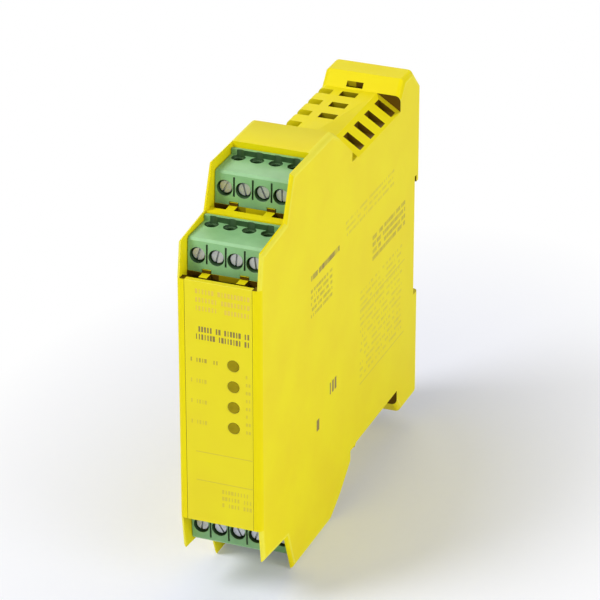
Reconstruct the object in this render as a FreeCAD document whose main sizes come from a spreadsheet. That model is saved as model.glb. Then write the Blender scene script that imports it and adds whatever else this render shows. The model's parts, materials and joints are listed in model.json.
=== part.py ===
import FreeCAD, Part
import Sketcher
import math
import os
import re

# Safety relay in a slim DIN-rail housing: two moulded half shells, a front cover, a sprung rail foot,
# a circuit board with its relays, and four pull-off screw terminal plugs on stepped shelves.
#
# Frame: millimetres, X across the width, Y from the front (-) to the rail (+), Z up.
# The origin is the middle of the rail seat, so the front face is at Y = -reach.
# "From the front" lengths below start at that front face.

SIZES = {
    # whole housing
    "width": 22.5,
    "height": 112.0,
    "reach": 110.5,          # front face to rail seat
    "rail_back": 4.0,        # rail seat to rear face
    "wall": 1.0,             # side plates
    "web": 1.5,              # walls between the side plates
    "edge_round": 1.6,       # rounding all round the side plates
    "split": 1.8,            # parting line, left of centre
    "gap": 0.15,             # moulding clearance
    # side outline: places from the front face, drops from the housing's top and bottom ends
    "bank_tall": 22.4,       # from the cover's end to the housing's end
    "horn_set": 1.4,
    "horn_rise": 9.6,
    "notch_set": 16.9,
    "notch_rise": 0.5,       # above the rear shelf
    "nose_set": 21.4,
    "shoulder_end": 48.6,
    "neck_start": 66.8,
    "neck_drop": 10.0,
    "neck_back": 12.2,       # ahead of the rail seat
    "heel_front": 9.0,       # ahead of the rail seat
    "heel_drop": 6.3,
    "heel_cut": 6.3,
    "toe_cut": 1.0,
    # terminal shelves
    "shelf_step": 17.6,      # from one shelf to the next, backwards
    "shelf_rise": 10.6,      # and outwards
    "pocket_deep": 17.0,
    "plug_gap": 4.9,         # open slot in front of each plug
    "slot_front": 2.2,       # where that slot starts
    "tab_width": 2.2,
    "tab_tall": 0.9,
    "tab_thick": 1.0,
    # front cover and indicators
    "cover_side": 2.3,       # left for the shells on each side
    "cover_thick": 1.6,
    "lip": 2.2,
    "leg_up": 22.0,
    "leg_long": 4.4,
    "barb_out": 0.7,
    "led_side": 3.85,
    "led_top": 12.0,
    "led_pitch": 5.77,
    "led_radius": 1.5,
    "guide_set": 6.2,
    "guide_thick": 1.6,
    "guide_margin": 2.6,
    # vents
    "vent_start": 64.05,
    "vent_pitch": 7.65,
    "vent_width": 3.2,
    "vent_side": 5.8,
    "vent_inset": 6.8,       # the same on the left shell
    "vent_drop": 3.9,
    "vent_left": 4.3,
    "vent_right": 0.3,
    "step_set": 0.35,        # the narrow vent in the step behind the neck
    "step_vent": 1.1,
    "bevel_side": 4.6,       # the slanted right edge of the neck
    "bevel_drop": 4.4,
    # rail seat and foot
    "rail_half": 17.5,
    "rail_lip": 1.25,        # slot for the rail's edge
    "rail_play": 0.3,
    "hook_grip": 1.7,
    "block_deep": 10.5,
    "block_top": 13.0,
    "foot_half": 5.0,
    "foot_wing": 6.6,
    "foot_front": 7.5,
    "foot_wing_thick": 3.1,
    "foot_play": 0.2,
    "foot_tuck": 0.5,        # the foot ends this far inside the heel
    "foot_eye": 3.0,
    "foot_travel": 3.5,      # down to the post inside its spring
    "spring_top": 26.0,
    "spring_seat": 38.3,
    "seat_thick": 1.5,
    "spring_radius": 1.8,
    "spring_wire": 0.5,
    "spring_pitch": 2.4,
    "bay_half": 2.6,
    "bay_deep": 5.5,
    # terminal plug, in its own frame: from its front face backwards, and up from its shelf
    "plug_side": 0.2,        # play beside the plug
    "plug_margin": 0.05,     # beyond the end poles
    "plug_long": 11.8,
    "plug_tall": 8.8,
    "plug_lean": 0.4,
    "plug_lift": 0.1,
    "edge_cut": 0.6,
    "flange_tall": 1.5,      # the raised strip along the plug's back
    "flange_thick": 1.0,
    "rib_gap": 0.5,
    "rib_deep": 0.4,
    "screw_up": 4.4,
    "head_radius": 1.75,
    "head_play": 0.35,
    "head_front": 1.1,
    "head_thick": 1.2,
    "slot_width": 0.5,
    "slot_deep": 0.7,
    "shank_radius": 1.25,
    "shank_end": 7.0,
    "shoulder_thick": 0.8,
    "run_play": 0.06,
    "cell_wall": 0.7,        # between two cells
    "cell_low": 2.75,
    "cell_high": 7.2,
    "wire_set": 9.3,
    "wire_radius": 1.3,
    "funnel_radius": 1.8,
    "funnel_deep": 0.7,
    "cage_side": 0.05,       # play beside the cage
    "cage_long": 6.0,
    "cage_low": 2.85,
    "cage_high": 6.8,
    "cage_wall": 0.6,
    "cage_travel": 2.0,      # forwards, until the cage meets the screw's shoulder wall
    "cage_play": 0.2,
    "bar_front": 7.2,
    "bar_thick": 0.7,
    "bar_width": 2.4,
    "fork_low": 0.65,
    "fork_high": 2.65,
    "fork_wall": 0.45,
    "pin_thick": 1.0,
    "pin_low": 1.15,
    "pin_front": 8.3,
    "header_long": 5.8,
    "nose_inset": 0.7,
    "header_drop": 0.5,
    "header_tall": 4.5,
    # circuit board
    "board_thick": 1.6,
    "board_lift": 1.65,
    "board_front": 8.2,
    "board_margin": 1.3,
    "boss_radius": 2.0,
    "boss_front": 30.0,
    "boss_rear": 90.0,
    "boss_up": 34.0,
    "relay_room": 1.75,      # from the relays to the side plate
    "relay_long": 28.0,
    "relay_wide": 12.5,
    "relay_front": 58.0,
    "relay_up": 7.0,
    "relay_pitch": 14.5,
    "case_chamfer": 0.5,
    "coil_front": 30.0,
    "coil_long": 19.0,
    "coil_wide": 17.0,
    "coil_tall": 14.0,
    "coil_down": 22.0,
    "core_limb": 3.6,
    "can_radius": 5.0,
    "can_tall": 13.0,
    "can_front": 62.0,
    "can_down": 30.0,
    "can_pitch": 12.0,
}

# lengths worked out from the sizes; a formula may use these words too
DERIVED = {
    "cover_width": "(width - 2 * cover_side)",
    "relay_tall": "(width - 2 * wall - board_lift - board_thick - relay_room)",
    "cage_width": "(cell_width - 2 * cage_side)",
    "cell_width": "(pitch - cell_wall)",
    "pitch": "((plug_width - 2 * plug_margin) / POSITIONS)",
    "plug_width": "(width - 2 * wall - 2 * plug_side)",
    "foot_end": "(heel_half - foot_tuck)",
    "cover_half": "(height / 2 - bank_tall)",
    "neck_half": "(height / 2 - neck_drop)",
    "heel_half": "(height / 2 - heel_drop)",
    "neck_end": "(reach - neck_back)",
    "heel_start": "(reach - heel_front)",
    "cage_front": "(head_front + head_thick + shoulder_thick + cage_travel + cage_play)",
    "board_face": "(-width / 2 + wall + board_lift + board_thick)",
}

POSITIONS = 4
SHELVES = {"front": 0, "rear": 1}
SIDES = {"top": 1, "bottom": -1}

doc = FreeCAD.newDocument("safety_relay")
sheet = doc.addObject("Spreadsheet::Sheet", "Sizes")
for row, (word, value) in enumerate(SIZES.items(), start=1):
    sheet.set("A%d" % row, word)
    sheet.set("B%d" % row, str(value))
    sheet.setAlias("B%d" % row, word)
doc.recompute()

finished = []


def sized(text):
    """Turn every word of a formula into the sheet's cell of that name."""
    for word, formula in DERIVED.items():
        text = re.sub(r"\b%s\b" % word, formula, text)
    text = text.replace("POSITIONS", str(POSITIONS))
    return re.sub(r"[a-z]\w*", lambda found: "Sizes." + found.group(), text)


def bind(thing, **formulas):
    for field, text in formulas.items():
        thing.setExpression(field.replace("__", "."), sized(text))


def finish(thing, label):
    thing.Label = label
    finished.append(thing)
    return thing


# ---------------------------------------------------------------- sketch and feature helpers

def loop(sketch, corners):
    """A closed outline of straight lines whose corners are formulas."""
    first = sketch.GeometryCount
    count = len(corners)
    rough = [FreeCAD.Vector(50 * math.cos(2 * math.pi * i / count), 50 * math.sin(2 * math.pi * i / count))
             for i in range(count)]
    for i in range(count):
        sketch.addGeometry(Part.LineSegment(rough[i], rough[(i + 1) % count]))
    for i in range(count):
        sketch.addConstraint(Sketcher.Constraint("Coincident", first + i, 2, first + (i + 1) % count, 1))
    for i, (across, up) in enumerate(corners):
        for kind, start, text in (("DistanceX", rough[i].x, across), ("DistanceY", rough[i].y, up)):
            index = sketch.addConstraint(Sketcher.Constraint(kind, -1, 1, first + i, 1, start))
            sketch.setExpression("Constraints[%d]" % index, sized(text))


def circle(sketch, across, up, radius):
    index = sketch.addGeometry(Part.Circle(FreeCAD.Vector(10, 10), FreeCAD.Vector(0, 0, 1), 5))
    for kind, text in (("DistanceX", across), ("DistanceY", up)):
        place = sketch.addConstraint(Sketcher.Constraint(kind, -1, 1, index, 3, 10.0))
        sketch.setExpression("Constraints[%d]" % place, sized(text))
    size = sketch.addConstraint(Sketcher.Constraint("Radius", index, 5.0))
    sketch.setExpression("Constraints[%d]" % size, sized(radius))


def rectangle(across, up):
    (left, right), (low, high) = across, up
    return [(left, low), (right, low), (right, high), (left, high)]


def new_sketch(body, role, offset, name):
    sketch = body.newObject("Sketcher::SketchObject", name)
    plane = next(item for item in body.Origin.OriginFeatures if item.Role == role)
    sketch.AttachmentSupport = (plane, "")
    sketch.MapMode = "FlatFace"
    sketch.setExpression("AttachmentOffset.Base.z", sized(offset))
    return sketch


def extrude(body, kind, sketch, length, name):
    """Pad or pocket a sketch along its plane's normal."""
    feature = body.newObject("PartDesign::" + kind, name)
    feature.Profile = sketch
    feature.Reversed = kind == "Pocket"
    feature.setExpression("Length", sized(length))
    sketch.Visibility = False
    return feature


def slab(body, kind, name, across, *outlines):
    """Pad or pocket side-view outlines between two places in X."""
    start, end = across
    sketch = new_sketch(body, "YZ_Plane", start, name + "_sketch")
    for outline in outlines:
        loop(sketch, outline)
    return extrude(body, kind, sketch, "(%s) - (%s)" % (end, start), name)


def prism(body, kind, name, along, *outlines):
    """Pad or pocket front-view outlines between two places in Y."""
    start, end = along
    sketch = new_sketch(body, "XZ_Plane", "-(%s)" % end, name + "_sketch")
    for outline in outlines:
        loop(sketch, outline)
    return extrude(body, kind, sketch, "(%s) - (%s)" % (end, start), name)


def taper(body, kind, name, *ends):
    """Join two front-view outlines by a loft; each end is its place in Y and its outline."""
    sketches = []
    for place, outline in ends:
        sketches.append(new_sketch(body, "XZ_Plane", "-(%s)" % place, name + "_sketch"))
        loop(sketches[-1], outline)
    feature = body.newObject("PartDesign::%sLoft" % kind, name)
    feature.Profile, *feature.Sections = sketches
    feature.Ruled = True


def from_front(text):
    return "-reach + " + text


def box(name, across, along, up):
    """A box between pairs of formulas in X, Y and Z."""
    thing = doc.addObject("Part::Box", name)
    for side, axis, (low, high) in zip(("Length", "Width", "Height"), "xyz", (across, along, up)):
        thing.setExpression(side, sized("(%s) - (%s)" % (high, low)))
        thing.setExpression("Placement.Base." + axis, sized(low))
    return thing


def rod(name, radius, across, along, up):
    """A round bar along Y between the two places in along."""
    thing = doc.addObject("Part::Cylinder", name)
    low, high = along
    bind(thing, Radius=radius, Height="(%s) - (%s)" % (high, low))
    thing.Placement = FreeCAD.Placement(FreeCAD.Vector(), FreeCAD.Rotation(FreeCAD.Vector(1, 0, 0), -90))
    bind(thing, Placement__Base__x=across, Placement__Base__y=low, Placement__Base__z=up)
    return thing


def fuse(name, *things):
    joined = doc.addObject("Part::MultiFuse", name)
    joined.Shapes = list(things)
    return joined


def cut(name, base, *tools):
    result = doc.addObject("Part::Cut", name)
    result.Base = base
    result.Tool = tools[0] if len(tools) == 1 else fuse(name + "_tools", *tools)
    return result


# ---------------------------------------------------------------- housing shells

def mirrored(upper):
    """An outline that is the same above and below mid-height."""
    return upper + [(along, "-(%s)" % up) for along, up in reversed(upper)]


SHELF_FRONT = from_front("pocket_deep")
SHELF_BACK = from_front("pocket_deep + shelf_step")
SHELF_Z = "cover_half + shelf_rise"
CROWN = "height / 2"
SPRING_MIDDLE = "-foot_front + bay_deep / 2"

side_upper = [
    (from_front("0"), "cover_half"),
    (from_front("horn_set"), "cover_half + horn_rise"),
    (from_front("notch_set"), SHELF_Z + " + notch_rise"),
    (from_front("nose_set"), CROWN),
    (from_front("shoulder_end"), CROWN),
    (from_front("neck_start"), "neck_half"),
    (from_front("neck_end"), "neck_half"),
    (from_front("heel_start"), "heel_half"),
]
side_outline = (side_upper
                + [("rail_back - heel_cut", "heel_half"), ("rail_back", "heel_half - heel_cut"),
                   ("rail_back", "-(heel_half - toe_cut)"), ("rail_back - toe_cut", "-heel_half")]
                + [(along, "-(%s)" % up) for along, up in reversed(side_upper)])

terminal_space = [
    (from_front("0 - web"), "cover_half"),
    (SHELF_FRONT, "cover_half"),
    (SHELF_FRONT, SHELF_Z),
    (SHELF_BACK, SHELF_Z),
    (SHELF_BACK, CROWN + " + web"),
    (from_front("0 - web"), CROWN + " + web"),
]

cavity_upper = [
    (from_front("lip"), "cover_half - web"),
    (SHELF_FRONT + " + web", "cover_half - web"),
    (SHELF_FRONT + " + web", SHELF_Z + " - web"),
    (SHELF_BACK + " + web", SHELF_Z + " - web"),
    (SHELF_BACK + " + web", CROWN + " - web"),
    (from_front("shoulder_end"), CROWN + " - web"),
    (from_front("neck_start"), "neck_half - web"),
]
cavity = (cavity_upper
          + [(from_front("neck_end"), "neck_half - web"),
             (from_front("heel_start"), "heel_half - web"),
             ("rail_back - heel_cut - web / 2", "heel_half - web"),
             ("rail_back - web", "heel_half - heel_cut - web / 2"),
             ("rail_back - web", "rail_half + rail_play + web"),
             ("-web", "rail_half + rail_play + web"),
             ("-web", "-block_top"),
             ("-block_deep", "-block_top"),
             ("-block_deep", "-(neck_half - web)")]
          + [(along, "-(%s)" % up) for along, up in reversed(cavity_upper)])

rail_recess = [
    ("0", "-(rail_half + rail_play)"),
    ("rail_back + web", "-(rail_half + rail_play)"),
    ("rail_back + web", "rail_half - hook_grip"),
    ("rail_lip", "rail_half - hook_grip"),
    ("rail_lip", "rail_half + rail_play"),
    ("0", "rail_half + rail_play"),
]


def flipped(outline):
    """The same outline below mid-height, still run through in the same sense."""
    return [(along, "-(%s)" % up) for along, up in reversed(outline)]


def header_window(shelf, side):
    back = from_front("pocket_deep + %d * shelf_step" % shelf)
    floor = "cover_half + %d * shelf_rise" % shelf
    outline = rectangle((back + " - gap", back + " + web + gap"),
                        (floor + " + fork_low - gap", floor + " + fork_high + gap"))
    return outline if side > 0 else flipped(outline)


def vent_row(place, long, side):
    middle = from_front(place)
    outline = rectangle((middle + " - %s / 2" % long, middle + " + %s / 2" % long),
                        ("neck_half - vent_drop", "neck_half + vent_width"))
    return outline if side > 0 else flipped(outline)


def plug_slot(shelf, side):
    """The open slot across a shelf's floor, in front of its plug."""
    along = from_front("%d * shelf_step" % shelf)
    floor = "cover_half + %d * shelf_rise" % shelf
    outline = rectangle((along + " + slot_front", along + " + plug_gap"),
                        (floor + " - 2 * web", floor + " + web"))
    return outline if side > 0 else flipped(outline)


def shelf_tab(shelf, side):
    """The yellow tab that stands in a groove of the plug."""
    low = from_front("%d * shelf_step + plug_gap - gap" % shelf)
    floor = "cover_half + %d * shelf_rise" % shelf
    outline = rectangle((low, low + " + tab_thick"), (floor + " - web / 2", floor + " + tab_tall"))
    return outline if side > 0 else flipped(outline)


# the neck's right edge is slanted, and the slant runs out along the shoulder ahead of it:
# a wall inside first, then the slant outside, both seen from the front
NECK = (from_front("neck_start"), from_front("neck_end"))
CROWN_END = from_front("shoulder_end")
inner_bevel = [
    ("bevel_side", "neck_half - web / 2"),
    ("bevel_side", "neck_half - 3 * web / 2"),
    ("width / 2 - wall / 2", "neck_half - bevel_drop - web"),
    ("width / 2 - wall / 2", "neck_half - web / 2"),
]
inner_end = [
    ("width / 2 - web", "height / 2 - web / 2"),
    ("width / 2 - web", "height / 2 - 3 * web / 2"),
    ("width / 2 - wall / 2", "height / 2 - 2 * web"),
    ("width / 2 - wall / 2", "height / 2 - web / 2"),
]
outer_bevel = [
    ("bevel_side", "neck_half"),
    ("width / 2", "neck_half - bevel_drop"),
    ("width / 2", "neck_half + web"),
    ("bevel_side", "neck_half + web"),
]
outer_end = [
    ("width / 2 - gap", "height / 2"),
    ("width / 2", "height / 2 - bevel_drop * gap / (width / 2 - bevel_side)"),
    ("width / 2", "height / 2 + web"),
    ("width / 2 - gap", "height / 2 + web"),
]


def shell(label, side):
    """One half of the housing: side is 1 for the right half and -1 for the left one."""
    body = doc.addObject("PartDesign::Body", label)

    def span(inner, outer):
        """From a place near the parting line out to a place near the side plate."""
        return (inner, outer) if side > 0 else ("-(%s)" % outer, inner)

    def whole(outer):
        return span("-split", outer)

    slab(body, "Pad", "plate", whole("width / 2"), side_outline)
    doc.recompute()
    face_x = side * SIZES["width"] / 2
    plate = body.Tip
    rim = ["Edge%d" % (i + 1) for i, edge in enumerate(plate.Shape.Edges)
           if all(abs(point.X - face_x) < 1e-6 for point in edge.Vertexes)]
    rounding = body.newObject("PartDesign::Fillet", "rounding")
    rounding.Base = (plate, rim)
    rounding.setExpression("Radius", sized("edge_round"))
    slab(body, "Pocket", "terminal_space", whole("width / 2 - wall"),
         terminal_space, flipped(terminal_space))
    slab(body, "Pocket", "cavity", whole("width / 2 - wall"), cavity)
    if side > 0:
        behind = (NECK[0], NECK[1] + " + web")
        prism(body, "Pad", "bevel_wall", behind, inner_bevel, flipped(inner_bevel))
        for turn in (list, flipped):
            taper(body, "Additive", "runout_wall", (NECK[0], turn(inner_bevel)), (CROWN_END, turn(inner_end)))
        prism(body, "Pocket", "bevel", NECK, outer_bevel, flipped(outer_bevel))
        for turn in (list, flipped):
            taper(body, "Subtractive", "runout", (NECK[0], turn(outer_bevel)), (CROWN_END, turn(outer_end)))
    slab(body, "Pocket", "cover_window", whole("cover_width / 2 + gap / 2"),
         rectangle((from_front("0 - web"), from_front("lip")), ("-cover_half - gap", "cover_half + gap")))
    slab(body, "Pocket", "header_windows", whole("plug_width / 2 - nose_inset"),
         *[header_window(shelf, up) for shelf in SHELVES.values() for up in SIDES.values()])
    slab(body, "Pocket", "rail_recess", whole("width / 2 + web"), rail_recess)

    rows = ["vent_start + %d * vent_pitch" % i for i in range(5)]
    slab(body, "Pocket", "edge_vents", span("vent_side" if side > 0 else "-vent_inset", "width / 2 + web"),
         *[vent_row(row, "vent_width", up) for row in rows for up in SIDES.values()])
    middle = ("-split", "vent_right") if side > 0 else ("-vent_left", "-split")
    slab(body, "Pocket", "middle_vents", middle,
         *[vent_row(row, "vent_width", up) for row in rows[2:] for up in SIDES.values()],
         *[vent_row("neck_end + step_set + step_vent / 2", "step_vent", up) for up in SIDES.values()])

    # the T-shaped channel that the rail foot slides in
    channel = new_sketch(body, "XY_Plane", "-(heel_half + web)", "channel_sketch")
    wing_back = "-foot_front + foot_wing_thick"
    loop(channel, [("-foot_wing", "-foot_front"), ("foot_wing", "-foot_front"), ("foot_wing", wing_back),
                   ("foot_half", wing_back), ("foot_half", "rail_back + web"),
                   ("-foot_half", "rail_back + web"), ("-foot_half", wing_back), ("-foot_wing", wing_back)])
    extrude(body, "Pocket", channel, "heel_half + web - rail_half - rail_play", "channel")

    # in front of each plug an open slot, crossed by two bridges that carry the tabs
    slots = [plug_slot(shelf, up) for shelf in SHELVES.values() for up in SIDES.values()]
    slab(body, "Pocket", "outer_slots", span("%d * (pitch + tab_width / 2)" % side, "width / 2 - wall"), *slots)
    slab(body, "Pocket", "inner_slots", span("-split", "pitch - tab_width / 2"), *slots)
    slab(body, "Pad", "tabs", span("%d * (pitch - tab_width / 2)" % side, "pitch + tab_width / 2"),
         *[shelf_tab(shelf, up) for shelf in SHELVES.values() for up in SIDES.values()])

    if side > 0:
        seat = rectangle(("-foot_front - web / 2", "-foot_front + bay_deep - foot_play"),
                         ("-(spring_seat + seat_thick)", "-spring_seat"))
        slab(body, "Pad", "spring_seat", ("-split", "bay_half - foot_play"), seat)
        post = new_sketch(body, "XY_Plane", "-spring_seat", "post_sketch")
        circle(post, "0", SPRING_MIDDLE, "spring_radius - spring_wire / 2 - foot_play")
        extrude(body, "Pad", post, "spring_seat - spring_top - foot_travel - gap", "spring_post")
    else:
        bosses = new_sketch(body, "YZ_Plane", "-width / 2 + wall / 2", "boss_sketch")
        for along in ("boss_front", "boss_rear"):
            for up in ("boss_up", "-boss_up"):
                circle(bosses, from_front(along), up, "boss_radius")
        extrude(body, "Pad", bosses, "wall / 2 + board_lift", "bosses")
    return finish(body, label)


shell("housing_right", 1)
shell("housing_left", -1)


# ---------------------------------------------------------------- front cover and light guide

def front_cover():
    plate = box("cover_plate", ("-cover_width / 2", "cover_width / 2"),
                (from_front("0"), from_front("cover_thick")), ("-cover_half", "cover_half"))
    extras = []
    for up in SIDES.values():
        for across in (-1, 1):
            # snap legs that reach in behind the shells' front lips
            outer = "cover_width / 2 - gap"
            leg_z = ("%d * leg_up - web" % up, "%d * leg_up + web" % up)
            leg_x = (outer + " - wall", outer)
            barb_x = (outer + " - wall", outer + " + barb_out")
            if across < 0:
                leg_x, barb_x = (("-(%s)" % pair[1], "-(%s)" % pair[0]) for pair in (leg_x, barb_x))
            leg_end = from_front("leg_long")
            extras.append(box("cover_leg", leg_x, (from_front("cover_thick / 2"), leg_end), leg_z))
            extras.append(box("cover_barb", barb_x, (from_front("lip + gap"), leg_end), leg_z))
    holes = [rod("cover_hole", "led_radius + gap / 2", "led_side",
                 (from_front("0 - web"), from_front("cover_thick + web")), "led_top - %d * led_pitch" % i)
             for i in range(POSITIONS)]
    finish(cut("cover", fuse("cover_solid", plate, *extras), *holes), "front_cover")


def light_guide():
    """One clear moulding: a flag on the circuit board with four pipes to the front."""
    flag = box("guide_flag", ("board_face", "led_side + led_radius + gap"),
               (from_front("guide_set"), from_front("guide_set + guide_thick")),
               ("led_top - %d * led_pitch - guide_margin" % (POSITIONS - 1), "led_top + guide_margin"))
    along = (from_front("0 - gap"), from_front("guide_set + gap"))
    pipes = [rod("guide_pipe", "led_radius", "led_side", along, "led_top - %d * led_pitch" % i)
             for i in range(POSITIONS)]
    finish(fuse("guide", flag, *pipes), "light_guide")


front_cover()
light_guide()


# ---------------------------------------------------------------- rail foot and its spring

def rail_foot():
    body = doc.addObject("PartDesign::Body", "rail_foot_body")
    top = "-(rail_half + rail_play + foot_play)"
    rear = "rail_back - foot_play"
    tooth = "rail_lip + foot_play / 2"
    grip = "-(rail_half - hook_grip)"
    outline = [
        ("-foot_front + foot_play", "-foot_end"), (rear, "-foot_end"),
        (rear, grip + " - 2 * hook_grip"), (tooth + " + hook_grip / 2", grip), (tooth, grip),
        (tooth, top), ("-foot_front + foot_play", top),
    ]
    slab(body, "Pad", "foot_blade", ("-foot_half + foot_play", "foot_half - foot_play"), outline)
    wing = rectangle(("-foot_front + foot_play", "-foot_front + foot_wing_thick - foot_play"),
                     ("-foot_end", top))
    slab(body, "Pad", "foot_wings", ("-foot_wing + foot_play", "foot_wing - foot_play"), wing)
    bay = rectangle(("-foot_front - web", "-foot_front + bay_deep"),
                    ("-(spring_seat + seat_thick + foot_play)", "-spring_top"))
    slab(body, "Pocket", "spring_bay", ("-bay_half", "bay_half"), bay)
    # the eye that a screwdriver pulls down
    eye = rectangle(("-foot_front - web", "rail_back + web"),
                    ("-foot_end + web", "-foot_end + web + foot_eye"))
    slab(body, "Pocket", "driver_eye", ("-bay_half", "bay_half"), eye)
    finish(body, "rail_foot")


def foot_spring():
    """A coil over the post on the right shell's seat, pressed between that seat and the foot."""
    wire = SIZES["spring_wire"] / 2
    coil = SIZES["spring_radius"]
    seat = SIZES["spring_seat"]
    tall = seat - SIZES["spring_top"] - 2 * wire
    helix = Part.makeHelix(SIZES["spring_pitch"], tall, coil)
    ring = Part.Wire(Part.makeCircle(wire, FreeCAD.Vector(coil, 0, 0), FreeCAD.Vector(0, 1, 0)))
    spring = doc.addObject("Part::Feature", "foot_spring_shape")
    spring.Shape = Part.Wire(helix).makePipeShell([ring], True, True)
    spring.Placement = FreeCAD.Placement(FreeCAD.Vector(0, 0, wire - seat), FreeCAD.Rotation())
    bind(spring, Placement__Base__y=SPRING_MIDDLE)
    finish(spring, "foot_spring")


rail_foot()
foot_spring()


# ---------------------------------------------------------------- circuit board and what it carries

def circuit_board():
    body = doc.addObject("PartDesign::Body", "board_body")
    header_back = "pocket_deep + web + header_long"
    upper = [
        (from_front("board_front"), "cover_half - web - board_margin"),
        (from_front(header_back + " + 2 * gap"), "cover_half - web - board_margin"),
        (from_front(header_back + " + 2 * gap"), SHELF_Z + " - web - gap"),
        (from_front(header_back + " + shelf_step + 2 * gap"), SHELF_Z + " - web - gap"),
        (from_front(header_back + " + shelf_step + 2 * gap"), CROWN + " - web - 2 * board_margin"),
        (from_front("shoulder_end"), CROWN + " - web - 2 * board_margin"),
        (from_front("neck_start"), "neck_half - web - 2 * board_margin"),
        ("-block_deep - board_margin", "neck_half - web - 2 * board_margin"),
    ]
    slab(body, "Pad", "board", ("board_face - board_thick", "board_face"), mirrored(upper))
    finish(body, "circuit_board")


def standing(name, height, along, up):
    """A block that stands on the board's component side."""
    return box(name, ("board_face", "board_face + " + height), along, up)


def board_parts():
    front = from_front("relay_front")
    for i, label in enumerate(("relay_upper", "relay_lower")):
        low = "relay_up - %d * relay_pitch" % i
        case = standing("relay_case", "relay_tall",
                        (front, front + " + relay_long"), (low, low + " + relay_wide"))
        rounded = doc.addObject("Part::Chamfer", "relay_edges")
        rounded.Base = case
        doc.recompute()
        lid = case.Shape.BoundBox.XMax
        bevel = SIZES["case_chamfer"]
        rounded.Edges = [(n + 1, bevel, bevel) for n, edge in enumerate(case.Shape.Edges)
                         if all(abs(point.X - lid) < 1e-6 for point in edge.Vertexes)]
        finish(rounded, label)

    front = from_front("coil_front")
    core = standing("transformer_core", "coil_tall", (front, front + " + coil_long"),
                    ("-coil_down", "-coil_down + coil_wide"))
    inside_x = ("board_face + core_limb", "board_face + coil_tall - core_limb")
    inside_y = (front + " + core_limb", front + " + coil_long - core_limb")
    window = box("transformer_window", inside_x, inside_y,
                 ("-coil_down - web", "-coil_down + coil_wide + web"))
    bobbin = box("transformer_bobbin", inside_x, inside_y,
                 ("-coil_down + web", "-coil_down + coil_wide - web"))
    finish(fuse("transformer_solid", cut("transformer_frame", core, window), bobbin), "transformer")

    cans = []
    for i in range(2):
        can = doc.addObject("Part::Cylinder", "can")
        can.Placement = FreeCAD.Placement(FreeCAD.Vector(), FreeCAD.Rotation(FreeCAD.Vector(0, 1, 0), 90))
        bind(can, Radius="can_radius", Height="can_tall", Placement__Base__x="board_face",
             Placement__Base__y=from_front("can_front + %d * can_pitch" % i), Placement__Base__z="-can_down")
        cans.append(can)
    group = doc.addObject("Part::Compound", "can_pair")
    group.Links = cans
    finish(group, "capacitors")


circuit_board()
board_parts()


# ---------------------------------------------------------------- terminals

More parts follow.
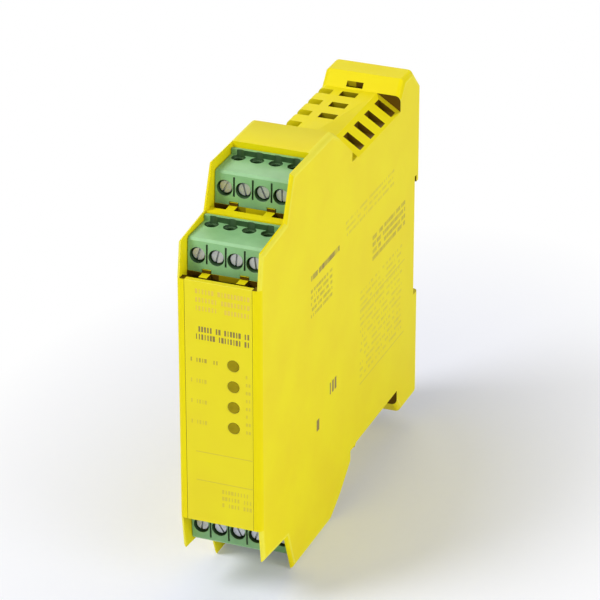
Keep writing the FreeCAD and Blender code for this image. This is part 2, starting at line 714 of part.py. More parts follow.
class Terminal:
    """One four-way plug with its socket header, laid out in the plug's own frame."""

    def __init__(self, level, shelf):
        self.name = level + "_" + shelf
        self.side = SIDES[level]
        self.front = from_front("%d * shelf_step + plug_gap" % SHELVES[shelf])
        self.floor = "cover_half + %d * shelf_rise" % SHELVES[shelf]

    def along(self, place):
        return "%s + %s" % (self.front, place)

    def up(self, place):
        return "%d * (%s + %s)" % (self.side, self.floor, place)

    def heights(self, low, high):
        return (self.up(low), self.up(high)) if self.side > 0 else (self.up(high), self.up(low))

    def block(self, name, across, along, up):
        return box(name, across, [self.along(place) for place in along], self.heights(*up))

    def bar(self, name, radius, across, along, up):
        return rod(name, radius, across, [self.along(place) for place in along], self.up(up))

    def middles(self):
        return ["%g * pitch" % (i - (POSITIONS - 1) / 2) for i in range(POSITIONS)]

    def plug(self):
        body = doc.addObject("PartDesign::Body", self.name + "_blank")
        outline = [
            (self.along("0"), self.up("plug_lift")),
            (self.along("plug_long"), self.up("plug_lift")),
            (self.along("plug_long"), self.up("plug_tall + flange_tall")),
            (self.along("plug_long - flange_thick"), self.up("plug_tall + flange_tall")),
            (self.along("plug_long - flange_thick"), self.up("plug_tall")),
            (self.along("plug_lean + edge_cut"), self.up("plug_tall")),
            (self.along("plug_lean"), self.up("plug_tall - edge_cut")),
        ]
        slab(body, "Pad", "plug_blank", ("-plug_width / 2", "plug_width / 2"), outline)
        tools = []
        for middle in self.middles():
            cell = (middle + " - cell_width / 2", middle + " + cell_width / 2")
            fork = (middle + " - bar_width / 2 - gap", middle + " + bar_width / 2 + gap")
            back = "plug_long + web"
            seat = "head_front + head_thick"
            tools += [
                self.block("cell", cell, (seat + " + shoulder_thick", back), ("cell_low", "cell_high")),
                self.block("fork_cell", fork, ("bar_front - gap", back),
                           ("fork_low - gap", "cell_low + gap")),
                self.bar("head_hole", "head_radius + head_play", middle, ("0 - web", seat), "screw_up"),
                self.bar("shank_hole", "shank_radius + run_play", middle, (seat, "shank_end"), "screw_up"),
                self.wire_hole("wire_hole", middle, "wire_radius", "cell_high - gap"),
                self.wire_hole("wire_mouth", middle, "funnel_radius", "plug_tall - funnel_deep"),
            ]
        for i in range(POSITIONS - 1):
            middle = "%g * pitch" % (i - (POSITIONS - 2) / 2)
            across = (middle + " - rib_gap / 2", middle + " + rib_gap / 2")
            tools.append(self.block("rib_gap", across, ("0 - web", "plug_lean + rib_deep"),
                                    ("tab_tall + web", "plug_tall - 2 * edge_cut")))
        for hand in (-1, 1):
            middle = "%d * pitch" % hand
            across = (middle + " - tab_width / 2 - gap", middle + " + tab_width / 2 + gap")
            tools.append(self.block("tab_groove", across, ("0 - web", "plug_long + web"),
                                    ("0 - web", "tab_tall + gap")))
        finish(cut(self.name + "_body", body, *tools), self.name + "_plug")

    def wire_hole(self, name, middle, radius, low):
        hole = doc.addObject("Part::Cylinder", name)
        high = "plug_tall + flange_tall + web"
        bind(hole, Radius=radius, Height="%s - (%s)" % (high, low), Placement__Base__x=middle,
             Placement__Base__y=self.along("wire_set"),
             Placement__Base__z=self.up(low) if self.side > 0 else self.up(high))
        return hole

    def screw(self, i, middle):
        head = self.bar("head", "head_radius", middle,
                        ("head_front", "head_front + head_thick"), "screw_up")
        shank = self.bar("shank", "shank_radius", middle,
                         ("head_front + head_thick / 2", "shank_end"), "screw_up")
        slot = self.block("slot", (middle + " - slot_width / 2", middle + " + slot_width / 2"),
                          ("head_front - web", "head_front + slot_deep"),
                          ("screw_up - 2 * head_radius", "screw_up + 2 * head_radius"))
        finish(cut("screw", fuse("screw_blank", head, shank), slot), "%s_screw_%d" % (self.name, i))

    def cage(self, i, middle):
        outer = self.block("cage_block", (middle + " - cage_width / 2", middle + " + cage_width / 2"),
                           ("cage_front", "cage_front + cage_long"), ("cage_low", "cage_high"))
        window = self.block("cage_window", (middle + " - cage_width / 2 + cage_wall",
                                            middle + " + cage_width / 2 - cage_wall"),
                            ("cage_front + cage_wall", "cage_front + cage_long - cage_wall"),
                            ("cage_low - web", "cage_high + web"))
        thread = self.bar("cage_thread", "shank_radius + run_play", middle,
                          ("cage_front - web", "cage_front + 2 * cage_wall"), "screw_up")
        finish(cut("cage", outer, window, thread), "%s_cage_%d" % (self.name, i))

    def contacts(self):
        """The four clamp bars, each bent back under its cage into a fork for the pin."""
        pieces = []
        for middle in self.middles():
            across = (middle + " - bar_width / 2", middle + " + bar_width / 2")
            inner = (middle + " - pin_thick / 2 - run_play", middle + " + pin_thick / 2 + run_play")
            bar_back = "bar_front + bar_thick"
            bar = self.block("bar", across, ("bar_front", bar_back), ("fork_low", "cell_high - gap"))
            fork = self.block("fork", across, ("bar_front", "plug_long - 2 * gap"),
                              ("fork_low", "fork_high"))
            slot = self.block("fork_slot", inner, (bar_back, "plug_long"),
                              ("fork_low + fork_wall", "fork_high + web"))
            pieces.append(cut("contact", fuse("contact_blank", bar, fork), slot))
        group = doc.addObject("Part::Compound", self.name + "_contact_group")
        group.Links = pieces
        finish(group, self.name + "_contacts")

    def header(self):
        wall_face = "pocket_deep - plug_gap + web"
        back = wall_face + " + header_long"
        block = self.block("header_block", ("-plug_width / 2 + gap", "plug_width / 2 - gap"),
                           (wall_face, back), ("0 - header_drop", "header_tall - header_drop"))
        nose = self.block("header_nose", ("-plug_width / 2 + nose_inset + gap",
                                          "plug_width / 2 - nose_inset - gap"),
                          ("pocket_deep - plug_gap + gap / 3", wall_face), ("fork_low", "fork_high"))
        pins = []
        holes = []
        for middle in self.middles():
            across = (middle + " - pin_thick / 2", middle + " + pin_thick / 2")
            up = ("pin_low", "pin_low + pin_thick")
            pins.append(self.block("pin", across, ("pin_front", back), up))
            holes.append(self.block("pin_hole", across, ("pin_front", back + " + web"), up))
        finish(cut("header", fuse("header_blank", block, nose), *holes), self.name + "_header")
        group = doc.addObject("Part::Compound", self.name + "_pin_group")
        group.Links = pins
        finish(group, self.name + "_pins")


for level in SIDES:
    for shelf in SHELVES:
        terminal = Terminal(level, shelf)
        terminal.plug()
        terminal.contacts()
        terminal.header()
        for number, middle in enumerate(terminal.middles(), start=1):
            terminal.screw(number, middle)
            terminal.cage(number, middle)


# ---------------------------------------------------------------- check and write

doc.recompute()
for thing in doc.Objects:
    if "Invalid" in thing.State or "Error" in thing.State:
        raise RuntimeError("%s (%s) failed: %s" % (thing.Name, thing.Label, thing.State))
os.makedirs("parts", exist_ok=True)
for thing in finished:
    shape = thing.Shape
    if shape.isNull() or not shape.isValid() or not shape.Solids:
        raise RuntimeError("%s has no valid solid" % thing.Label)
    shape.exportStep(os.path.join("parts", thing.Label + ".step"))
    print("%-26s %2d solids %10.2f mm3" % (thing.Label, len(shape.Solids), shape.Volume))
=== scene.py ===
# %% [markdown]
# # A slim safety relay for a mounting rail
#
# The real object is a narrow yellow housing, 22.5 mm wide, that clips on a rail in a control cabinet. Two
# moulded half shells hold a front cover with four indicators and four green terminal plugs with slotted
# screws. The CAD model gives every piece its place and size. This script gives each piece its
# finish, rounds the moulded edges, makes the screws and the foot's spring, and adds the printing.

# %% Load the frame
import json
import math
import random

import bmesh
import bpy
from mathutils import Matrix, Vector
from mathutils.bvhtree import BVHTree
from mathutils.geometry import area_tri, tessellate_polygon


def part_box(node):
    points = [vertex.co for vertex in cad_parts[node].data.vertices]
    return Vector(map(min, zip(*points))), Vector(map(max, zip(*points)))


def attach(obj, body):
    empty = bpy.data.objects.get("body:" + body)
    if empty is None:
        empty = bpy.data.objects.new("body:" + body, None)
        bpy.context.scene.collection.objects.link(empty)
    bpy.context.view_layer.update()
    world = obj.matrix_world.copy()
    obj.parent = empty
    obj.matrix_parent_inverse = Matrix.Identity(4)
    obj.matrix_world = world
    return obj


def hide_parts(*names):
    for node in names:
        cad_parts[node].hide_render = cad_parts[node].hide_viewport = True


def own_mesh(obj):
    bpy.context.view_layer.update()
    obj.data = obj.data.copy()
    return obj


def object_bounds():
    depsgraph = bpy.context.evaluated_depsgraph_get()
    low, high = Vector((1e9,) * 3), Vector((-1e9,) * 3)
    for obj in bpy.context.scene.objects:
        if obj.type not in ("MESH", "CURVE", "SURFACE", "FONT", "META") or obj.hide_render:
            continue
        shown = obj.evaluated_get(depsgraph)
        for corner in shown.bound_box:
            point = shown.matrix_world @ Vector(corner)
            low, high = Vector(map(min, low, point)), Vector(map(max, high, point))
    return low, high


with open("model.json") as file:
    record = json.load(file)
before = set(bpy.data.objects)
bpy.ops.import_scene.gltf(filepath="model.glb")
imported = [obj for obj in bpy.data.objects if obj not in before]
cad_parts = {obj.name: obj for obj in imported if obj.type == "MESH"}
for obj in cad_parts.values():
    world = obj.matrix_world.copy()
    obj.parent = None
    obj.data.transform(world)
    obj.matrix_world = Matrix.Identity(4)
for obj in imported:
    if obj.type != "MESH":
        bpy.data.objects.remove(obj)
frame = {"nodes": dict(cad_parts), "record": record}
cad_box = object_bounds()

MM = 0.001
bodies = frame["record"]["behaviour"]["bodies"]
body_of_node = {node: body for body, nodes in bodies.items() for node in nodes}
slot_of_node = {part["node"]: part["material_slot"] for part in frame["record"]["subparts"]}

# %% [markdown]
# ## A small language for node trees
#
# Materials and geometry nodes are both node trees. One class adds nodes to a tree, and one class wraps a
# socket so that arithmetic on it adds Math nodes. A pattern then reads like a formula, which is easier to
# check than a list of links.


# %% Wires and trees
class Wire:
    """A socket of a tree. Arithmetic on it adds Math nodes; brackets pick another output."""

    def __init__(self, tree, socket):
        self.tree = tree
        self.socket = socket

    def __getitem__(self, output):
        return Wire(self.tree, self.socket.node.outputs[output])

    def maths(self, operation, *values, clamp=False):
        settings = {"operation": operation, "use_clamp": clamp}
        return self.tree.add("ShaderNodeMath", settings, dict(enumerate(values)))

    def __add__(self, other):
        return self.maths("ADD", self, other)

    def __sub__(self, other):
        return self.maths("SUBTRACT", self, other)

    def __rsub__(self, other):
        return self.maths("SUBTRACT", other, self)

    def __mul__(self, other):
        return self.maths("MULTIPLY", self, other)

    def __truediv__(self, other):
        return self.maths("DIVIDE", self, other)

    def __rtruediv__(self, other):
        return self.maths("DIVIDE", other, self)

    __radd__ = __add__
    __rmul__ = __mul__

    def held(self):
        """The same number, kept between 0 and 1."""
        return self.maths("ADD", self, 0.0, clamp=True)


class Tree:
    """A node tree that is filled by one method."""

    def __init__(self, tree):
        self.tree = tree

    def add(self, kind, settings=None, inputs=None):
        """A node of that kind, its settings first and then its sockets, each a value or a wire."""
        node = self.tree.nodes.new(kind)
        for name, value in (settings or {}).items():
            setattr(node, name, value)
        for name, value in (inputs or {}).items():
            if isinstance(value, Wire):
                self.tree.links.new(value.socket, node.inputs[name])
            else:
                node.inputs[name].default_value = value
        return Wire(self, node.outputs[0]) if node.outputs else node

    def blend(self, share, first, second):
        """A colour between two colours."""
        return self.add("ShaderNodeMix", {"data_type": "RGBA"}, {0: share, 6: first, 7: second})[2]


def paint(red, green, blue):
    """A colour as a paint card gives it, 0 to 255, turned into the linear numbers that a shader needs."""
    shares = [value / 255 for value in (red, green, blue)]
    linear = [share / 12.92 if share <= 0.04045 else ((share + 0.055) / 1.055) ** 2.4 for share in shares]
    return (*linear, 1.0)


# %% [markdown]
# ## Moulded plastic
#
# Housing, cover, plugs and foot are injection mouldings. Such a part has one colour all through, but its
# surface isn't even: the steel mould is spark eroded, which leaves a fine grain, and the flow of the
# plastic leaves faint clouds. Noise on object coordinates gives both, at their real sizes, and needs no
# unwrapping.
#
# Two more things are painted into the colour, and both can be measured on the mesh before it is painted.
# Narrow edge faces get a painted highlight, lighter and a little rougher, and faces deep in slots, vents
# and holes get painted shade, as they never see the light. The finish reads them from two face attributes,
# which are 0 where a mesh has none.


# %% Finishes of plastic
def material(name):
    made = bpy.data.materials.new(name)
    made.use_nodes = True
    made.node_tree.nodes.clear()
    return made, Tree(made.node_tree)


def surface(tree, shader):
    tree.add("ShaderNodeOutputMaterial", None, {"Surface": shader})


def noise(tree, size, detail=2.0, rough=0.5, stretch=(1.0, 1.0, 1.0)):
    """Clouds whose patches are about that size in metres."""
    spot = tree.add("ShaderNodeTexCoord")["Object"]
    turned = tree.add("ShaderNodeMapping", None, {"Vector": spot, "Scale": stretch})
    return tree.add("ShaderNodeTexNoise", None,
                    {"Vector": turned, "Scale": 1 / size, "Detail": detail, "Roughness": rough})


def measured(tree, name):
    """A number that the mesh carries on its faces."""
    return tree.add("ShaderNodeAttribute", {"attribute_name": name})["Fac"]


def moulded(name, colour, shade, edge_highlight, painted_shade, cloud=14 * MM, grain=0.22 * MM, relief=0.25, gloss=0.42,
            shine=0.15):
    """Plastic between two near colours in clouds, with its mould's grain, painted edge highlights and painted
    shade in recesses.
    """
    made, tree = material(name)
    clouds = noise(tree, cloud, 3.0)
    fine = noise(tree, grain, 2.0, 0.6)
    # Narrow edge faces are painted lighter in broken patches, a painted highlight, and made a little rougher.
    highlight_patches = noise(tree, 1.1 * MM, 3.0, 0.7)
    edge = measured(tree, "edge_highlight") * (0.35 + 0.65 * highlight_patches)
    # Faces deep in slots, vents and holes blend towards a dark colour: painted shade.
    depth = measured(tree, "painted_shade")
    hue = tree.blend(((clouds - 0.35) * 2.2).held(), colour, shade)
    hue = tree.blend(edge, hue, edge_highlight)
    hue = tree.blend(depth, hue, painted_shade)
    height = tree.add("ShaderNodeBump", None, {"Height": fine, "Strength": relief, "Distance": 0.02 * MM})
    surface(tree, tree.add("ShaderNodeBsdfPrincipled", None, {
        "Base Color": hue, "Roughness": gloss - 0.05 + 0.1 * fine + 0.12 * edge, "Normal": height,
        "Specular IOR Level": shine}))
    return made


# Dark colours of painted shade for faces deep in slots, vents and holes; each finish below takes one.
YELLOW_PAINTED_SHADE, GREEN_PAINTED_SHADE = paint(92, 68, 12), paint(50, 82, 46)
finishes = {
    "housing_yellow": moulded("housing_yellow", paint(238, 223, 14), paint(235, 215, 18),
                              edge_highlight=paint(240, 232, 84), painted_shade=YELLOW_PAINTED_SHADE, shine=0.06),
    "cover_yellow": moulded("cover_yellow", paint(236, 223, 38), paint(233, 215, 42),
                            edge_highlight=paint(240, 233, 92), painted_shade=YELLOW_PAINTED_SHADE,
                            grain=0.16 * MM, relief=0.15, gloss=0.38, shine=0.1),
    "plug_green": moulded("plug_green", paint(138, 190, 130), paint(122, 174, 114),
                          edge_highlight=paint(172, 212, 150), painted_shade=GREEN_PAINTED_SHADE,
                          cloud=6 * MM, gloss=0.4, shine=0.4),
    "header_green": moulded("header_green", paint(114, 168, 110), paint(100, 152, 96),
                            edge_highlight=paint(148, 194, 134), painted_shade=GREEN_PAINTED_SHADE, cloud=6 * MM),
    "foot_plastic": moulded("foot_plastic", paint(44, 44, 46), paint(36, 36, 38),
                            edge_highlight=paint(74, 74, 76), painted_shade=paint(16, 16, 17), relief=0.35, gloss=0.5),
    "relay_case": moulded("relay_case", paint(206, 206, 200), paint(196, 196, 190),
                          edge_highlight=paint(220, 220, 214), painted_shade=paint(90, 90, 86), gloss=0.3),
}
print("plastic finishes", len(finishes))

# %% [markdown]
# ## Metal
#
# Screws and cages are zinc plated, contacts and pins tin plated, and the spring is drawn wire. Plated metal
# is bright but never a mirror: noise stretched along one axis gives the drawing marks, and a second noise
# dulls it in patches.


# %% Finishes of metal
def plated(name, colour, dull, gloss=0.3, stretch=(1.0, 0.08, 1.0)):
    """Metal with fine marks along one axis and duller patches."""
    made, tree = material(name)
    marks = noise(tree, 0.12 * MM, 2.0, 0.6, stretch)
    patches = noise(tree, 1.6 * MM)
    relief = tree.add("ShaderNodeBump", None, {"Height": marks, "Strength": 0.3, "Distance": 0.01 * MM})
    surface(tree, tree.add("ShaderNodeBsdfPrincipled", None, {
        "Base Color": tree.blend(patches, colour, dull), "Metallic": 0.9,
        "Roughness": gloss + 0.2 * patches, "Normal": relief}))
    return made


finishes["screw_steel"] = plated("screw_steel", paint(208, 212, 214), paint(178, 182, 185), 0.34)
finishes["cage_steel"] = plated("cage_steel", paint(176, 178, 182), paint(148, 150, 153))
finishes["contact_tin"] = plated("contact_tin", paint(204, 204, 198), paint(178, 178, 172), 0.35)
finishes["pin_tin"] = plated("pin_tin", paint(208, 208, 202), paint(182, 182, 176))
finishes["spring_steel"] = plated("spring_steel", paint(168, 170, 174), paint(140, 142, 146), 0.28,
                                  (1.0, 1.0, 1.0))
finishes["capacitor_can"] = plated("capacitor_can", paint(190, 192, 196), paint(168, 170, 174), 0.35)
print("all finishes so far", len(finishes))

# %% [markdown]
# ## Board, indicators, transformer and ink
#
# The circuit board is green lacquer over copper: a brick pattern makes the tracks, a little brighter than
# the rest. The indicators are smoky clear plastic over an unlit lamp. Dark olive with little shine reads as
# that at arm's length. Printing ink is matt and slightly worn, so its noise mixes two near colours.


# %% Remaining finishes
def lacquered_board():
    made, tree = material("circuit_board")
    turned = tree.add("ShaderNodeMapping", None, {
        "Vector": tree.add("ShaderNodeTexCoord")["Object"], "Rotation": (0.0, math.radians(90), 0.0)})
    tracks = tree.add("ShaderNodeTexBrick", None, {
        "Vector": turned, "Scale": 1.0, "Mortar Size": 0.22 * MM, "Brick Width": 7.3 * MM,
        "Row Height": 1.27 * MM, "Color1": (0, 0, 0, 1), "Color2": (0, 0, 0, 1), "Mortar": (1, 1, 1, 1)})
    surface(tree, tree.add("ShaderNodeBsdfPrincipled", None, {
        "Base Color": tree.blend(tracks["Fac"], paint(24, 96, 48), paint(52, 128, 70)),
        "Roughness": 0.25 + 0.1 * noise(tree, 3 * MM), "Coat Weight": 0.5}))
    return made


def mottled(name, colour, other, patch, gloss, shine=0.3):
    """Two near colours in small patches, with roughness that follows them."""
    made, tree = material(name)
    patches = noise(tree, patch, 3.0)
    surface(tree, tree.add("ShaderNodeBsdfPrincipled", None, {
        "Base Color": tree.blend(patches, colour, other), "Roughness": gloss + 0.12 * patches,
        "Specular IOR Level": shine}))
    return made


finishes["circuit_board"] = lacquered_board()
finishes["light_guide"] = mottled("light_guide", paint(166, 150, 6), paint(138, 122, 4), 1.2 * MM, 0.4,
                                  shine=0.1)
finishes["transformer"] = mottled("transformer", paint(62, 62, 66), paint(48, 48, 52), 0.8 * MM, 0.5)
inks = {
    "dark": mottled("dark_ink", paint(128, 110, 58), paint(150, 130, 70), 0.5 * MM, 0.5),
    "warm": mottled("warm_ink", paint(226, 196, 70), paint(232, 206, 70), 0.5 * MM, 0.5),
    "middle": mottled("middle_ink", paint(176, 156, 48), paint(190, 170, 52), 0.5 * MM, 0.5),
    "faint": mottled("faint_ink", paint(212, 194, 48), paint(222, 204, 50), 0.5 * MM, 0.5),
}
print("finishes", sorted(finishes), "inks", sorted(inks))

# %% [markdown]
# ## Rounded copies of the moulded pieces
#
# A CAD node is a cloud of loose triangles with knife edges, and no moulding has such edges. Each piece that
# shows is copied, its doubles are merged and its flat faces joined, and a narrow Bevel rounds every edge. A
# Weighted Normal modifier then keeps the large faces flat, so that light doesn't streak across them. The
# copy stands for its node.

# %% Copy, round and hand over
SMOOTH = math.radians(32)
SAME_PLANE = math.radians(0.6)
SAME_POINT = 0.002 * MM
NARROW = 0.75


def show(name, mesh, body, finish):
    """A new object with that mesh and finish, which rides on the body."""
    piece = bpy.data.objects.new(name, mesh)
    bpy.context.scene.collection.objects.link(piece)
    mesh.materials.clear()
    mesh.materials.append(finish)
    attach(piece, body)
    return piece


def stand_for(node, name, mesh):
    """A piece in the node's own finish and on its body, in its place."""
    slot = slot_of_node[node]
    piece = show(name, mesh, body_of_node[node], finishes[slot])
    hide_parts(node)
    return piece


def joined_mesh(node):
    """The node's mesh as one closed skin with large flat faces."""
    work = bmesh.new()
    work.from_mesh(frame["nodes"][node].data)
    bmesh.ops.remove_doubles(work, verts=work.verts, dist=SAME_POINT)
    bmesh.ops.dissolve_limit(work, angle_limit=SAME_PLANE, verts=work.verts, edges=work.edges)
    made = bpy.data.meshes.new(node + "_skin")
    work.to_mesh(made)
    work.free()
    return made


def baked(mesh, dress):
    """The mesh after the modifiers that dress adds to an object with it."""
    helper = bpy.data.objects.new("helper", mesh)
    bpy.context.scene.collection.objects.link(helper)
    dress(helper)
    graph = bpy.context.evaluated_depsgraph_get()
    made = bpy.data.meshes.new_from_object(helper.evaluated_get(graph), preserve_all_data_layers=True,
                                           depsgraph=graph)
    helper.modifiers.clear()
    bpy.data.objects.remove(helper)
    return made


def rounded(node, width, steps=2):
    """The node's mesh with rounded edges and flat faces that stay flat."""
    skin = joined_mesh(node)
    skin.shade_smooth()

    def dress(helper):
        bevel = helper.modifiers.new("edges", "BEVEL")
        bevel.width = width
        bevel.segments = steps
        bevel.limit_method = "ANGLE"
        bevel.angle_limit = SMOOTH
        weights = helper.modifiers.new("flats", "WEIGHTED_NORMAL")
        weights.weight = 100
        weights.keep_sharp = True

    mesh = baked(skin, dress)
    # Narrow faces, which the bevel made, are marked for the painted edge highlight.
    edge_highlight = mesh.attributes.new("edge_highlight", "FLOAT", "FACE")
    for face in mesh.polygons:
        points = [mesh.vertices[index].co for index in face.vertices]
        longest = max((points[i] - points[i - 1]).length for i in range(len(points)))
        edge_highlight.data[face.index].value = float(face.area < NARROW * width * longest)
    return mesh


moulding_width = {"housing_right": 0.25 * MM, "housing_left": 0.25 * MM, "front_cover": 0.2 * MM,
                  "rail_foot": 0.25 * MM}
terminals = [level + "_" + shelf for level in ("top", "bottom") for shelf in ("front", "rear")]
for terminal in terminals:
    moulding_width[terminal + "_plug"] = 0.12 * MM
mouldings = {}
for node, width in moulding_width.items():
    mouldings[node] = rounded(node, width)
    print(node, len(mouldings[node].polygons), "faces")

# %% [markdown]
# ## Painted shade by how deep each face sits
#
# The vents, the slots in the shelves and the wire entries lead into a closed dark housing, and their faces
# are given painted shade. To find such faces, rays leave the large triangles of each face in all directions
# of its half space, spread evenly by the golden angle. A face is deep where many of them meet a wall within a
# few millimetres, as in a slot, or where hardly any ever gets out, as inside the housing. The shells and the
# cover are measured together, because they close each other.

# %% Measure the depth for painted shade
RAYS = 128
LIFT, REACH, SLOT = 0.05 * MM, 0.2, 5 * MM
NEAR_DEEP, NEAR_OPEN = 0.7, 0.8
OUT_DEEP, OUT_OPEN = 0.16, 0.28
WIDE = 300 * MM * MM
EDGE_SHARE = 0.35
golden = math.pi * (3 - math.sqrt(5))
spread = []
for index in range(RAYS):
    up = 1 - 2 * (index + 0.5) / RAYS
    flat = math.sqrt(1 - up * up)
    spread.append(Vector((flat * math.cos(golden * index), flat * math.sin(golden * index), up)))


def falling(value, full, none):
    """1 where the value is at or under full, 0 where it is at or above none, and a slope between."""
    return min(1.0, max(0.0, (none - value) / (none - full)))


def spots_on(mesh, face):
    """The middles of the face's large triangles, which lie on the face however its outline runs."""
    points = [mesh.vertices[index].co for index in face.vertices]
    triangles = [[points[index] for index in corners] for corners in tessellate_polygon([points])]
    largest = max(area_tri(*corners) for corners in triangles)
    return [sum(corners, Vector()) / 3 for corners in triangles if area_tri(*corners) >= 0.2 * largest]


def depth_at(spot, normal, walls):
    """The share of painted shade, from 0 in the open to 1 in a slot or inside the housing."""
    source = spot + normal * LIFT
    rays = [ray for ray in spread if ray.dot(normal) > 0.05]
    met = [walls.ray_cast(source, ray, REACH)[3] for ray in rays]
    near = sum(way is None or way > SLOT for way in met) / len(met)
    out = sum(way is None for way in met) / len(met)
    return max(falling(near, NEAR_DEEP, NEAR_OPEN), falling(out, OUT_DEEP, OUT_OPEN))


def measure_painted_shade(group):
    """Writes the share of painted shade on the faces of these meshes. A face is only as deep as its most open
    part.

    A wide wall is left out, because it runs on from the inside to an open terminal chamber.
    """
    points, faces = [], []
    for mesh in group:
        start = len(points)
        points += [vertex.co.copy() for vertex in mesh.vertices]
        faces += [[start + index for index in face.vertices] for face in mesh.polygons]
    walls = BVHTree.FromPolygons(points, faces)
    for mesh in group:
        # Each face's share of painted shade, weaker on narrow edge faces.
        painted_shade = mesh.attributes.new("painted_shade", "FLOAT", "FACE")
        for face in mesh.polygons:
            edge = EDGE_SHARE if mesh.attributes["edge_highlight"].data[face.index].value else 1.0
            depths = [depth_at(spot, face.normal, walls) for spot in spots_on(mesh, face)]
            painted_shade.data[face.index].value = edge * min(depths) if face.area < WIDE else 0.0


measure_painted_shade([mouldings[node] for node in ("housing_right", "housing_left", "front_cover")])
for terminal in terminals:
    measure_painted_shade([mouldings[terminal + "_plug"]])
for node, mesh in mouldings.items():
    piece = stand_for(node, node + "_moulding", mesh)
    painted_shade = sum(item.value > 0.5 for item in mesh.attributes["painted_shade"].data) if "painted_shade" in mesh.attributes else 0
    print(piece.name, painted_shade, "deep faces")

# %% [markdown]
# ## Indicators
#
# Four light pipes of one clear moulding end in the cover as small smoky lenses. The pipes' rims are rounded
# more than other edges, so that each end reads as a lens that catches the lamp.

# %% Lenses
lenses = stand_for("light_guide", "indicator_lenses", rounded("light_guide", 0.35 * MM, 3))
print(lenses.name, len(lenses.data.polygons), "faces")

# %% [markdown]
# ## Recipes of Geometry Nodes
#
# Screws, the spring's coil and rows of print repeat one form. Each gets a tree of geometry nodes with named
# inputs, a recipe that can be cooked at any size. The result is made real and given its material inside the
# tree, because an exported model can't hold instances, and then it is kept as a plain mesh.


# %% Recipe
class Recipe(Tree):
    """A tree of geometry nodes with named inputs. Each input is its kind of socket and its usual value."""

    def __init__(self, name, inputs):
        super().__init__(bpy.data.node_groups.new(name, "GeometryNodeTree"))
        self.sockets = {}
        for word, (kind, value) in inputs.items():
            socket = self.tree.interface.new_socket(
                name=word, in_out="INPUT", socket_type="NodeSocket" + kind)
            if value is not None:
                socket.default_value = value
            self.sockets[word] = socket.identifier
        self.finish_socket = self.tree.interface.new_socket(
            name="Finish", in_out="INPUT", socket_type="NodeSocketMaterial").identifier
        self.tree.interface.new_socket(name="Geometry", in_out="OUTPUT", socket_type="NodeSocketGeometry")
        self.entry = self.add("NodeGroupInput")

    def close(self, geometry):
        """Make the instances real, give them the finish and end the tree."""
        real = self.add("GeometryNodeRealizeInstances", None, {"Geometry": geometry})
        self.add("NodeGroupOutput", None, {"Geometry": self.add(
            "GeometryNodeSetMaterial", None, {"Geometry": real, "Material": self.entry["Finish"]})})

    def cook(self, finish, values):
        """The mesh that the tree makes with these values."""
        def dress(helper):
            nodes = helper.modifiers.new("recipe", "NODES")
            nodes.node_group = self.tree
            nodes[self.finish_socket] = finish
            for word, value in values.items():
                nodes[self.sockets[word]] = value
        return baked(bpy.data.meshes.new("empty"), dress)


# %% [markdown]
# ## Terminal screws
#
# Sixteen slotted M2.5 screws close the wire cages. Their heads sit in round holes in the plugs' fronts and
# their threads draw the cages forwards. The head is a short cylinder with a cone for its chamfer, and a
# Boolean takes the slot out. The thread is a small three-sided tube along a spiral on the core. Every real
# screw stops at its own turn, so each slot's angle is drawn at random, from a fixed seed.

# %% Screw recipe
screw = Recipe("slotted_screw", {
    "Head radius": ("Float", 1.75 * MM), "Head thickness": ("Float", 1.2 * MM),
    "Chamfer": ("Float", 0.18 * MM),
    "Slot width": ("Float", 0.5 * MM), "Slot depth": ("Float", 0.7 * MM),
    "Shank radius": ("Float", 1.25 * MM), "Length": ("Float", 5.9 * MM), "Pitch": ("Float", 0.45 * MM),
    "Sides": ("Int", 40)})
size = screw.entry
tight = 0.18 * MM
straight = size["Head thickness"] - size["Chamfer"]


def lifted(recipe, geometry, height):
    where = recipe.add("ShaderNodeCombineXYZ", None, {"Z": height})
    return recipe.add("GeometryNodeTransform", None, {"Geometry": geometry, "Translation": where})


barrel = screw.add("GeometryNodeMeshCylinder", None, {
    "Vertices": size["Sides"], "Radius": size["Head radius"], "Depth": straight})
crown = screw.add("GeometryNodeMeshCone", None, {
    "Vertices": size["Sides"], "Radius Top": size["Head radius"] - size["Chamfer"],
    "Radius Bottom": size["Head radius"], "Depth": size["Chamfer"]})
head = screw.add("GeometryNodeMeshBoolean", {"operation": "UNION", "solver": "EXACT"}, {
    "Mesh 2": lifted(screw, barrel, (0.0 - straight) * 0.5 - size["Chamfer"])})
screw.tree.links.new(lifted(screw, crown, 0.0 - size["Chamfer"]).socket, head.socket.node.inputs["Mesh 2"])
slot_size = screw.add("ShaderNodeCombineXYZ", None, {
    "X": size["Slot width"], "Y": 3.0 * size["Head radius"], "Z": 2.0 * size["Slot depth"]})
slotted = screw.add("GeometryNodeMeshBoolean", {"operation": "DIFFERENCE", "solver": "EXACT"}, {
    "Mesh 1": head, "Mesh 2": screw.add("GeometryNodeMeshCube", None, {"Size": slot_size})})
print("head of", len(screw.tree.nodes), "nodes")

# %% Shank and thread
thread_long = size["Length"] - size["Head thickness"]
core = screw.add("GeometryNodeMeshCylinder", None, {
    "Vertices": 24, "Radius": size["Shank radius"] - tight, "Depth": thread_long})
core_low = 0.0 - size["Head thickness"] - thread_long * 0.5
coil = screw.add("GeometryNodeCurveSpiral", None, {
    "Resolution": 20, "Rotations": (thread_long - size["Pitch"]) / size["Pitch"],
    "Start Radius": size["Shank radius"] - tight, "End Radius": size["Shank radius"] - tight,
    "Height": thread_long - size["Pitch"]})
tooth = screw.add("GeometryNodeCurvePrimitiveCircle", None, {"Resolution": 3, "Radius": tight})
thread = screw.add("GeometryNodeCurveToMesh", None, {
    "Curve": coil, "Profile Curve": tooth, "Fill Caps": True})
thread_low = 0.5 * size["Pitch"] - size["Length"]
parts = screw.add("GeometryNodeJoinGeometry")
for part in (slotted, lifted(screw, core, core_low), lifted(screw, thread, thread_low)):
    screw.tree.links.new(part.socket, parts.socket.node.inputs[0])
screw.close(parts)
print("screw of", len(screw.tree.nodes), "nodes")

